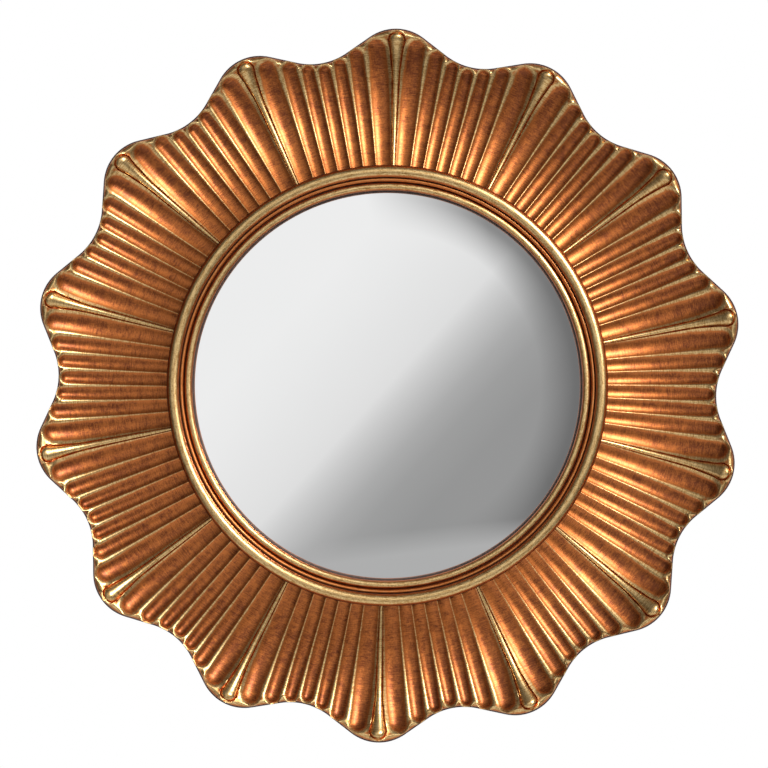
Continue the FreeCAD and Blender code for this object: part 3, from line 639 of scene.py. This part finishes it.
def plated(name, colour):
    nodes = Nodes(name)
    grain = nodes.noise(nodes.coordinates(), 900.0, 4.0, 0.6)
    cloud = nodes.noise(nodes.coordinates(), 60.0, 3.0, 0.5)
    dull = tuple(0.62 * part for part in colour)
    nodes.set(
        Base_Color=nodes.mixed(nodes.ramp(cloud, (0.35, 0.0), (0.7, 1.0)), dull, tuple(colour)),
        Metallic=1.0,
        Roughness=nodes.ramp(grain, (0.3, 0.26), (0.7, 0.42)),
    )
    nodes.bump(grain, 0.00004, 0.4)
    return nodes.owner


def speckled(name, dark, light, scale, rough, depth):
    nodes = Nodes(name)
    grain = nodes.noise(nodes.coordinates(), scale, 8.0, 0.7)
    nodes.set(Base_Color=nodes.ramp(grain, (0.3, dark), (0.7, light)), Roughness=rough)
    nodes.bump(grain, depth, 0.6)
    return nodes.owner


def on_node(name, material):
    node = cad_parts[name]
    node.data.materials.clear()
    node.data.materials.append(material)


# ---------------------------------------------------------------------------- operators


class MIRROR_OT_fluted_frame(bpy.types.Operator):
    """Models half a lobe on a grid, mirrors it and repeats it round the frame"""

    bl_idname = "mirror.fluted_frame"
    bl_label = "Fluted frame"

    def execute(self, context):
        sizes, finishes = context.scene.mirror_sizes, context.scene.mirror_finishes
        widest, deepest = sizes.ridge_width / MM, sizes.flute_depth / MM
        flute_heads = heads(widest)
        columns = len(grid_angles(DROP_NECK_REACH, widest)) - 1
        section = self.section()
        rows = len(section) - 1
        deselect()
        bpy.ops.mesh.primitive_grid_add(x_subdivisions=columns, y_subdivisions=rows, size=1)
        piece = started("carved_frame")
        rub_and_painted_light = piece.data.attributes.new("rub_and_painted_light", "FLOAT", "POINT")
        for point in piece.data.vertices:
            column = round((point.co.x + 0.5) * columns)
            row = round((point.co.y + 0.5) * rows)
            place, shine = self.place(section[row], column, columns, flute_heads, deepest, widest)
            rub_and_painted_light.data[point.index].value = shine
            point.co = place
        self.repeat(piece)
        finish_piece(piece, "frame", "gilding", gilding("rubbed gilding", finishes), "fluted_frame")
        self.paint_rim_shade_and_dark_back(piece, rim_shade_and_dark_back(finishes))
        return {"FINISHED"}

    def section(self):
        """The rows of the grid, out over the front, down the rim and back under to the ledge."""
        rows = [("front", ROWS_SPLIT * i / INNER_ROWS) for i in range(INNER_ROWS)]
        rest = 1 - ROWS_SPLIT
        rows += [("front", ROWS_SPLIT + rest * i / OUTER_ROWS) for i in range(OUTER_ROWS + 1)]
        rows += [("slope", part) for part in (0.15, 0.35, 0.6, 0.85, 1.0)]
        rows += [("wall", part) for part in (0.12, 0.4, 0.7, 1.0)]
        rows += [("back", part) for part in (0.35, 1.0)]
        rows += [("at", (RECESS_REACH, RECESS_DEPTH)), ("at", (BORE, RECESS_DEPTH))]
        rows += [("at", (BORE, LEDGE_HEIGHT)), ("at", (LEDGE_REACH, LEDGE_HEIGHT)), ("front", 0.0)]
        return rows

    def place(self, row, column, columns, flute_heads, deepest, widest):
        """Where a point of the grid goes, and how pale the gilding is there: rubbed gilding, with painted
        shade on the outer flutes' floors.
        """
        kind, part = row
        last = grid_angles(RIM_ROW_REACH, widest)[column]
        if column == columns:
            last = HALF_LOBE
        lip = lip_reach(last, flute_heads)
        if kind == "front":
            reach = mix(LEDGE_REACH, lip, part)
            angle = HALF_LOBE if column == columns else grid_angles(reach, widest)[column]
            if reach > HEADS_FROM:
                lip = lip_reach(angle, flute_heads)
                reach = mix(LEDGE_REACH, lip, part)
            rise, shine = relief(reach, angle, flute_heads, deepest, widest)
            return self.spot(reach, angle, dish(reach) + rise), shine
        angle = HALF_LOBE if column == columns else grid_angles(lip, widest)[column]
        lip = lip_reach(angle, flute_heads)
        rise, shine = relief(lip, angle, flute_heads, deepest, widest)
        top = dish(lip) + rise
        shoulder = rim_reach(angle) - RIM_DRAFT * (top - 1.2) - RIM_EDGE
        drop = 0.45 + 0.30 * (shoulder - lip)
        if kind == "slope":
            reach = mix(lip, shoulder, part)
            shine = mix(0.95, 0.30, ease(0.1, 0.9, part))
            return self.spot(reach, angle, top - drop * part**1.4), shine
        if kind == "wall":
            low = (top - drop) * (1 - part)
            wall = rim_reach(angle) - RIM_DRAFT * low
            return self.spot(mix(shoulder, wall, ease(0.0, 0.4, part)), angle, low), 0.0
        if kind == "back":
            return self.spot(mix(rim_reach(angle), RECESS_REACH, part), angle, 0.0), 0.0
        return self.spot(part[0], angle, part[1]), 0.0

    def spot(self, reach, angle, height):
        return Vector((reach * math.sin(angle), -(height + WALL_GAP), reach * math.cos(angle))) * MM

    def repeat(self, piece):
        """Mirrors half a lobe and repeats it round the frame."""
        twin = piece.modifiers.new("other half", "MIRROR")
        twin.merge_threshold = WELD
        pivot = bpy.data.objects.new("pivot", None)
        bpy.context.scene.collection.objects.link(pivot)
        pivot.rotation_euler = (0, 2 * HALF_LOBE, 0)
        round_ = piece.modifiers.new("lobes", "ARRAY")
        round_.count = LOBES
        round_.use_relative_offset = False
        round_.use_object_offset = True
        round_.offset_object = pivot
        round_.use_merge_vertices = True
        round_.use_merge_vertices_cap = True
        round_.merge_threshold = WELD
        bpy.context.view_layer.update()
        apply_all(piece)
        bpy.data.objects.remove(pivot)
        tidy_mesh(piece, 2e-6)
        smooth(piece, 60)

    def paint_rim_shade_and_dark_back(self, piece, dark):
        """Gives the frame's back its dark colour, and paints shade on the steep part of the rim with the same
        near-black.
        """
        piece.data.materials.append(dark)
        rub_and_painted_light = piece.data.attributes["rub_and_painted_light"].data
        for face in piece.data.polygons:
            if any(rub_and_painted_light[v].value >= 0.01 for v in face.vertices):
                continue
            reach, height = reach_and_height(face.center)
            is_back = abs(face.normal.y) > 0.95 and height < 0.5
            # painted shade on the rim's steep wall past this reach
            is_shaded_rim = reach > RIM_SHADE_FROM and face.normal.y > -0.6
            if is_back or is_shaded_rim:
                face.material_index = 1


class MIRROR_OT_reeded_slip(bpy.types.Operator):
    """Turns the reeded slip that stands round the glass"""

    bl_idname = "mirror.reeded_slip"
    bl_label = "Reeded slip"

    def execute(self, context):
        sizes, finishes = context.scene.mirror_sizes, context.scene.mirror_finishes
        section = [(SIGHT_REACH, LEDGE_HEIGHT), (SLIP_REACH, LEDGE_HEIGHT), (SLIP_REACH, 13.6)]
        for (middle, centre, round_, _), spread, joint in zip(BEADS, BEAD_SPREADS, BEAD_JOINTS):
            section += self.bead(middle, centre, round_, *spread) + joint
        piece = turned("turned_slip", section, sizes.turning_steps, 50)
        rub_and_painted_light = piece.data.attributes.new("rub_and_painted_light", "FLOAT", "POINT")
        # painted highlight: each bead's crown is made pale and its sides copper
        for point in piece.data.vertices:
            reach, height = reach_and_height(point.co)
            rub_and_painted_light.data[point.index].value = max(self.shine(reach, height, *bead) for bead in BEADS)
        finish_piece(piece, "frame", "burnished_gold", gilding("slip gilding", finishes), "reeded_slip")
        # near-black painted shade in the creases between the beads and at the glass edge; at the slip's foot
        # also the dark seam with the frame
        piece.data.materials.append(self.crease_shade_and_seam())
        for face in piece.data.polygons:
            reach, height = reach_and_height(face.center)
            if any(near < reach < far and height < top for near, far, top in SHADED_CREASES_AND_SEAMS):
                face.material_index = 1
        return {"FINISHED"}

    def shine(self, reach, height, middle, centre, round_, rubbed):
        """How pale a bead is at a point: most at its crown, and less down its sides. This paints a highlight
        on each bead over its rubbed gilding.
        """
        if abs(math.hypot(reach - middle, height - centre) - round_) > 0.05:
            return 0.0
        return rubbed * ease(0.5, 1.0, (height - centre) / round_)

    def bead(self, reach, height, round_, out_spread, in_spread, steps):
        """Points over a bead of a centre and radius, between two leans from its crown, in degrees."""
        leans = [math.radians(mix(out_spread, -in_spread, i / steps)) for i in range(steps + 1)]
        return [(reach + round_ * math.sin(lean), height + round_ * math.cos(lean)) for lean in leans]

    def crease_shade_and_seam(self):
        # painted shade for the slip's creases, and the dark seam at its foot
        nodes = Nodes("dark seam")
        mottle = nodes.noise(nodes.coordinates(), 300.0, 4.0, 0.6)
        nodes.set(
            Base_Color=nodes.ramp(mottle, (0.35, (0.022, 0.008, 0.004)), (0.7, (0.09, 0.034, 0.015))),
            Roughness=0.6,
        )
        return nodes.owner


class MIRROR_OT_glass(bpy.types.Operator):
    """Turns the bulging silvered glass"""

    bl_idname = "mirror.glass"
    bl_label = "Glass"

    def execute(self, context):
        centre = LEDGE_HEIGHT - GLASS_DROP - math.sqrt(GLASS_ROUND**2 - SIGHT_REACH**2)
        inner = GLASS_ROUND - GLASS_THICKNESS
        front = [GLASS_REACH * i / 40 for i in range(41)]
        back = [GLASS_REACH * i / 8 for i in range(8, -1, -1)]
        section = [(reach, centre + math.sqrt(GLASS_ROUND**2 - reach**2)) for reach in front]
        section += [(reach, centre + math.sqrt(inner**2 - reach**2)) for reach in back]
        piece = turned("silvered_dome", section, context.scene.mirror_sizes.turning_steps, 40)
        finish_piece(piece, "frame", "silvered_glass", silvered_glass(), "mirror_glass")
        return {"FINISHED"}


class MIRROR_OT_back(bpy.types.Operator):
    """Finishes the backing board and the pads, and makes the round wall bumpers"""

    bl_idname = "mirror.back"
    bl_label = "Board, pads and bumpers"

    def execute(self, context):
        board = speckled("hardboard", (0.11, 0.062, 0.034), (0.20, 0.125, 0.072), 420.0, 0.62, 0.0001)
        on_node("backing_board", board)
        foam = speckled("foam", (0.02, 0.02, 0.02), (0.06, 0.06, 0.06), 1500.0, 0.9, 0.0002)
        on_node("glass_pads", foam)
        felt = speckled("felt", (0.03, 0.024, 0.02), (0.085, 0.07, 0.058), 2600.0, 0.95, 0.0003)
        discs = []
        for i in range(4):
            angle = math.radians(45 + 90 * i)
            across, up = BUMPER_REACH * MM * math.cos(angle), BUMPER_REACH * MM * math.sin(angle)
            deselect()
            bpy.ops.mesh.primitive_cylinder_add(
                vertices=48,
                radius=BUMPER_ROUND * MM,
                depth=WALL_GAP * MM,
                location=(across, -WALL_GAP / 2 * MM, up),
                rotation=(math.pi / 2, 0, 0),
            )
            disc = started(f"disc_{i + 1}")
            bevel(disc, 0.5, 3)
            place_in_mesh(disc)
            discs.append(disc)
        piece = join(discs)
        piece.name = "felt_bumpers"
        smooth(piece)
        finish_piece(piece, "frame", "felt", felt, "wall_bumpers")
        return {"FINISHED"}


def screw(name, across, up, drop, sizes, slot_turn):
    """A slotted screw's domed head, of a radius and a height, at a drop behind the frame's back."""
    head_reach, head_height = sizes
    deselect()
    bpy.ops.mesh.primitive_uv_sphere_add(
        segments=32, ring_count=16, radius=head_reach * MM, rotation=(math.pi / 2, 0, 0)
    )
    head = started(name)
    head.scale = (1, 1, head_height / head_reach)
    place_in_mesh(head)
    edit(head)
    bpy.ops.mesh.bisect(plane_co=(0, 0, 0), plane_no=(0, 1, 0), clear_inner=True, use_fill=True)
    done()
    deselect()
    bpy.ops.mesh.primitive_cube_add(size=1, location=(0, head_height * MM, 0))
    cutter = started("slot")
    cutter.scale = (head_reach * 3 * MM, head_height * MM, SLOT_WIDTH * MM)
    place_in_mesh(cutter)
    cutter.data.transform(Matrix.Rotation(slot_turn, 4, "Y"))
    cut = head.modifiers.new("slot", "BOOLEAN")
    cut.operation = "DIFFERENCE"
    cut.object = cutter
    cut.solver = "EXACT"
    apply_all(head)
    bpy.data.objects.remove(cutter)
    head.data.transform(Matrix.Translation(Vector((across, drop - WALL_GAP, up)) * MM))
    return head


class MIRROR_OT_turn_buttons(bpy.types.Operator):
    """Makes the six turn buttons and their screws"""

    bl_idname = "mirror.turn_buttons"
    bl_label = "Turn buttons"

    def execute(self, context):
        zinc = plated("zinc plate", context.scene.mirror_finishes.zinc)
        first = self.button()
        screws = []
        for i in range(6):
            angle = math.radians(60 * i)
            across, up = BUTTON_PIVOT * math.cos(angle), BUTTON_PIVOT * math.sin(angle)
            turn = Matrix.Translation(Vector((across, 0, up)) * MM) @ Matrix.Rotation(-angle, 4, "Y")
            piece = copied(first, f"button_plate_{i + 1}", turn)
            finish_piece(piece, f"button_{i + 1}", "zinc_plate", zinc, f"turn_button_{i + 1}")
            name, slot_turn = f"button_screw_{i + 1}", 0.5 + 1.1 * i
            screws.append(screw(name, across, up, BUTTON_HEAD_DROP, BUTTON_HEAD, slot_turn))
        bpy.data.objects.remove(first)
        piece = join(screws)
        piece.name = "slotted_button_screws"
        smooth(piece)
        steel = plated("zinc screws", (0.55, 0.56, 0.58))
        finish_piece(piece, "frame", "screw_steel", steel, "button_screws")
        return {"FINISHED"}

    def button(self):
        """A flat bar with round ends and softened edges, its pivot at the origin."""
        deselect()
        bpy.ops.mesh.primitive_cube_add(
            size=1, location=(BUTTON_MIDDLE * MM, -(WALL_GAP - BUTTON_DEPTH) * MM, 0)
        )
        piece = started("button_model")
        piece.scale = [size * MM for size in BUTTON_SIZES]
        place_in_mesh(piece)
        edit(piece)
        select_upright_edges(piece)
        bpy.ops.mesh.bevel(offset=BUTTON_CORNER * MM, segments=10, affect="EDGES")
        done()
        bevel(piece, 0.25, 2, 60)
        smooth(piece)
        return piece


class MIRROR_OT_hangers(bpy.types.Operator):
    """Makes the strap hangers, their swinging bows and their screws"""

    bl_idname = "mirror.hangers"
    bl_label = "Strap hangers"

    def execute(self, context):
        brass = plated("brass plate", context.scene.mirror_finishes.brass)
        screws = []
        for side, sign in (("left", -1), ("right", 1)):
            there = Matrix.Translation(Vector((sign * HANGER_OUT, 0, HANGER_UP)) * MM)
            turn = there @ Matrix.Scale(sign, 4, (1, 0, 0))
            strap, bow = self.strap(f"strap_{side}"), self.bow(f"bow_{side}")
            for piece in (strap, bow):
                piece.data.transform(turn)
                tidy_mesh(piece)
                smooth(piece)
            finish_piece(strap, "frame", "brassed_steel", brass, f"hanger_strap_{side}")
            finish_piece(bow, f"ring_{side}", "brassed_steel", brass, f"hanger_ring_{side}")
            for along, slot_turn in STRAP_SCREWS:
                across = sign * (HANGER_OUT + along)
                name = f"strap_screw_{side}_{along}"
                screws.append(screw(name, across, HANGER_UP, STRAP_HEAD_DROP, STRAP_HEAD, slot_turn))
        piece = join(screws)
        piece.name = "slotted_strap_screws"
        smooth(piece)
        finish_piece(piece, "frame", "brassed_steel", brass, "hanger_screws")
        return {"FINISHED"}

    def strap(self, name):
        """A strap plate with rounded corners, and the eye that is rolled at its end."""
        deselect()
        length, thickness, width = STRAP_SIZES
        bpy.ops.mesh.primitive_cube_add(
            size=1, location=(length / 2 * MM, -(WALL_GAP - thickness / 2) * MM, 0)
        )
        plate = started(name)
        plate.scale = [size * MM for size in STRAP_SIZES]
        place_in_mesh(plate)
        edit(plate)
        select_upright_edges(plate, past=length / 2 * MM)
        bpy.ops.mesh.bevel(offset=STRAP_CORNER * MM, segments=8, affect="EDGES")
        done()
        deselect()
        bpy.ops.mesh.primitive_cylinder_add(
            vertices=40,
            radius=EYE_ROUND * MM,
            depth=width * MM,
            end_fill_type="NOTHING",
            location=(0, -(WALL_GAP - BAR_DEPTH) * MM, 0),
        )
        eye = started("eye")
        place_in_mesh(eye)
        wall = eye.modifiers.new("wall", "SOLIDIFY")
        wall.thickness = thickness * MM
        wall.offset = -1
        apply_all(eye)
        return join([plate, eye])

    def bow(self, name):
        """A bow of round wire: half a ring, two short arms and a bar through the eye."""
        deselect()
        bpy.ops.mesh.primitive_torus_add(
            major_radius=BOW_ROUND * MM,
            minor_radius=WIRE_ROUND * MM,
            major_segments=64,
            minor_segments=20,
            rotation=(math.pi / 2, 0, 0),
            location=(BOW_MIDDLE * MM, -(WALL_GAP - BAR_DEPTH) * MM, 0),
        )
        bow = started(name)
        place_in_mesh(bow)
        edit(bow)
        bpy.ops.mesh.bisect(plane_co=(BOW_MIDDLE * MM, 0, 0), plane_no=(1, 0, 0), clear_outer=True)
        bpy.ops.mesh.select_all(action="DESELECT")
        mesh = bmesh.from_edit_mesh(bow.data)
        for edge in mesh.edges:
            edge.select = edge.is_boundary
        bmesh.update_edit_mesh(bow.data)
        bpy.ops.mesh.extrude_region_move(TRANSFORM_OT_translate={"value": (ARM_LENGTH * MM, 0, 0)})
        bpy.ops.mesh.edge_face_add()
        done()
        deselect()
        bpy.ops.mesh.primitive_cylinder_add(
            vertices=32,
            radius=BAR_ROUND * MM,
            depth=BAR_LENGTH * MM,
            location=(0, -(WALL_GAP - BAR_DEPTH) * MM, 0),
        )
        bar = started("bar")
        place_in_mesh(bar)
        bevel(bar, 0.35, 3)
        return join([bow, bar])


class MIRROR_OT_stage(bpy.types.Operator):
    """Sets the floor, the lamp, the surroundings and the camera"""

    bl_idname = "mirror.stage"
    bl_label = "Stage"

    def execute(self, context):
        self.floor()
        self.lamp("key", KEY_PLACE, KEY_SIZE, KEY_POWER)
        self.surroundings(context.scene)
        self.camera(context.scene)
        context.scene.view_settings.view_transform = "Standard"
        return {"FINISHED"}

    def floor(self):
        """A round pale floor that keeps the shadow and fades to white towards its edge."""
        deselect()
        bpy.ops.mesh.primitive_circle_add(
            vertices=96, radius=FLOOR_REACH, fill_type="NGON", location=(0, 0, -FLOOR_DROP)
        )
        floor = started("floor")
        nodes = Nodes("pale floor")
        grain = nodes.noise(nodes.coordinates(), 3.0, 2.0, 0.5)
        nodes.set(Base_Color=nodes.ramp(grain, (0.3, 0.82), (0.7, 0.84)), Roughness=0.9)
        reach = nodes.add("VectorMath", operation="LENGTH")
        nodes.link(nodes.coordinates(), reach.inputs[0])
        far = nodes.ramp(reach.outputs["Value"], (0.45 * FLOOR_REACH, 0.0), (0.95 * FLOOR_REACH, 1.0))
        path = nodes.add("LightPath")
        seen = nodes.math("MAXIMUM", path.outputs["Is Camera Ray"], path.outputs["Is Glossy Ray"])
        white = nodes.add("Emission")
        blend = nodes.add("MixShader")
        nodes.link(nodes.math("MULTIPLY", far, seen), blend.inputs[0])
        nodes.link(nodes.shader.outputs[0], blend.inputs[1])
        nodes.link(white.outputs[0], blend.inputs[2])
        nodes.link(blend.outputs[0], nodes.output.inputs["Surface"])
        floor.data.materials.append(nodes.owner)

    def lamp(self, name, place, size, power):
        light = bpy.data.lights.new(name, "AREA")
        light.shape = "DISK"
        light.size = size
        light.energy = power
        holder = bpy.data.objects.new(name, light)
        bpy.context.scene.collection.objects.link(holder)
        holder.location = place
        holder.rotation_euler = (-Vector(place)).to_track_quat("-Z", "Y").to_euler()
        holder.visible_camera = False

    def surroundings(self, scene):
        """White behind the object. In front of it a room, pale to the upper left and grey to the lower
        right, that the glass and the gilding show, with dim sides."""
        nodes = Nodes("room", bpy.data.worlds)
        scene.world = nodes.owner
        direction = nodes.add("TexCoord").outputs["Generated"]
        split = nodes.add("SeparateXYZ")
        nodes.link(direction, split.inputs[0])
        ahead = nodes.math("MULTIPLY", split.outputs["Y"], -1.0)
        slant = nodes.math("MULTIPLY_ADD", nodes.towards(direction, ROOM_SLANT), 0.5, 0.5)
        room = nodes.ramp(slant, *ROOM_GREYS)
        edge = nodes.ramp(ahead, (0.865, 1.0), (0.91, 0.0))
        right = nodes.ramp(nodes.towards(direction, (0.966, 0, 0.259)), (0.06, 0.0), (0.36, 0.8))
        room = nodes.mixed(nodes.math("MULTIPLY", edge, right), room, (ROOM_EDGE,) * 3)
        low = nodes.ramp(nodes.towards(direction, (0.15, 0, -1)), (0.40, 0.0), (0.46, 1.0))
        room = nodes.mixed(low, room, (ROOM_LOW,) * 3)
        room = nodes.mixed(nodes.ramp(ahead, (0.70, 0.0), (0.86, 1.0)), (ROOM_SIDES,) * 3, room)
        behind = nodes.ramp(split.outputs["Y"], (0.05, 0.0), (0.25, 1.0))
        path = nodes.add("LightPath")
        level = nodes.mixed(behind, room, WHITE)
        level = nodes.mixed(path.outputs["Is Diffuse Ray"], level, (ROOM_LEVEL,) * 3)
        level = nodes.mixed(path.outputs["Is Camera Ray"], level, WHITE)
        nodes.link(level, nodes.shader.inputs["Color"])

    def camera(self, scene):
        lens = bpy.data.cameras.new("camera")
        holder = bpy.data.objects.new("camera", lens)
        scene.collection.objects.link(holder)
        roll = Matrix.Rotation(math.radians(ROLL), 4, "Y")
        place = Matrix.Translation((0, -CAMERA_DISTANCE, 0))
        holder.matrix_world = roll @ place @ Matrix.Rotation(math.pi / 2, 4, "X")
        lens.sensor_width = SENSOR
        lens.lens = SENSOR * (CAMERA_DISTANCE - SHARP_PLANE) / (PICTURE * PIXEL)
        lens.shift_x, lens.shift_y = SHIFT_X, SHIFT_Y
        lens.clip_end = 50
        scene.camera = holder


class MIRROR_PT_panel(bpy.types.Panel):
    """Lists the mirror's pieces"""

    bl_idname = "MIRROR_PT_panel"
    bl_label = "Convex mirror"
    bl_space_type = "VIEW_3D"
    bl_region_type = "UI"
    bl_category = "Mirror"

    def draw(self, context):
        layout = self.layout
        sizes, finishes = context.scene.mirror_sizes, context.scene.mirror_finishes
        for settings, names in ((sizes, MirrorSizes), (finishes, MirrorFinishes)):
            for name in names.__annotations__:
                layout.prop(settings, name)
        for operator in OPERATORS:
            layout.operator(operator.bl_idname)


OPERATORS = (
    MIRROR_OT_fluted_frame,
    MIRROR_OT_reeded_slip,
    MIRROR_OT_glass,
    MIRROR_OT_back,
    MIRROR_OT_turn_buttons,
    MIRROR_OT_hangers,
    MIRROR_OT_stage,
)
CLASSES = (MirrorSizes, MirrorFinishes, *OPERATORS, MIRROR_PT_panel)


def register():
    for known in CLASSES:
        bpy.utils.register_class(known)
    bpy.types.Scene.mirror_sizes = PointerProperty(type=MirrorSizes)
    bpy.types.Scene.mirror_finishes = PointerProperty(type=MirrorFinishes)


def unregister():
    del bpy.types.Scene.mirror_finishes
    del bpy.types.Scene.mirror_sizes
    for known in reversed(CLASSES):
        bpy.utils.unregister_class(known)


def main():
    register()
    bpy.ops.mirror.fluted_frame()
    bpy.ops.mirror.reeded_slip()
    bpy.ops.mirror.glass()
    bpy.ops.mirror.back()
    bpy.ops.mirror.turn_buttons()
    bpy.ops.mirror.hangers()
    bpy.ops.mirror.stage()


if __name__ == "__main__":
    main()
